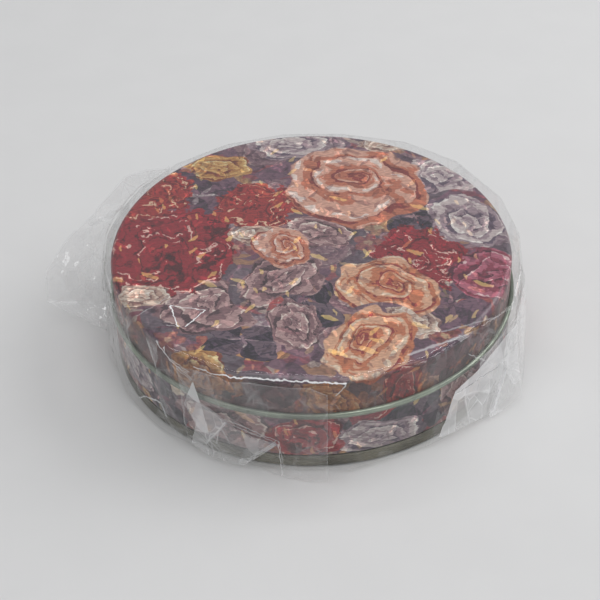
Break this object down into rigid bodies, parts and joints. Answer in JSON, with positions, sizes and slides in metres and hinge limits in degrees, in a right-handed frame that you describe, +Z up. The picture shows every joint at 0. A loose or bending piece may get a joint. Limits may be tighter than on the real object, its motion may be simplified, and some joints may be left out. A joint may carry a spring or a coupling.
{
  "type": "tea caddy",
  "caption": "Flat round printed tea tin with a lift-off lid over a stepped neck, a plain base cup and a loose clear film wrap.",
  "frame": {"origin": "centre of the base's flat underside, on the surface that the tin stands on", "axes": "+Z up along the tin's axis, -X towards the wrap's free tail, -Y towards the front flap"},
  "size_m": [0.18, 0.156, 0.0423],
  "materials": {
    "printed_tinplate": "gloss",
    "plain_tinplate": "satin",
    "clear_film": "gloss"
  },
  "bodies": {
    "tin_body": {"body_wall": "printed_tinplate", "base": "plain_tinplate"},
    "lid": {"lid": "printed_tinplate"},
    "wrap": {"film_wrap": "clear_film"}
  },
  "joints": [
    {"name": "lid_lift", "type": "slide", "parent": "tin_body", "child": "lid", "axis": [0, 0, 1], "range_m": [0, 0.05]},
    {"name": "wrap_lift", "type": "slide", "parent": "lid", "child": "wrap", "axis": [0, 0, 1], "range_m": [0, 0.06]}
  ]
}
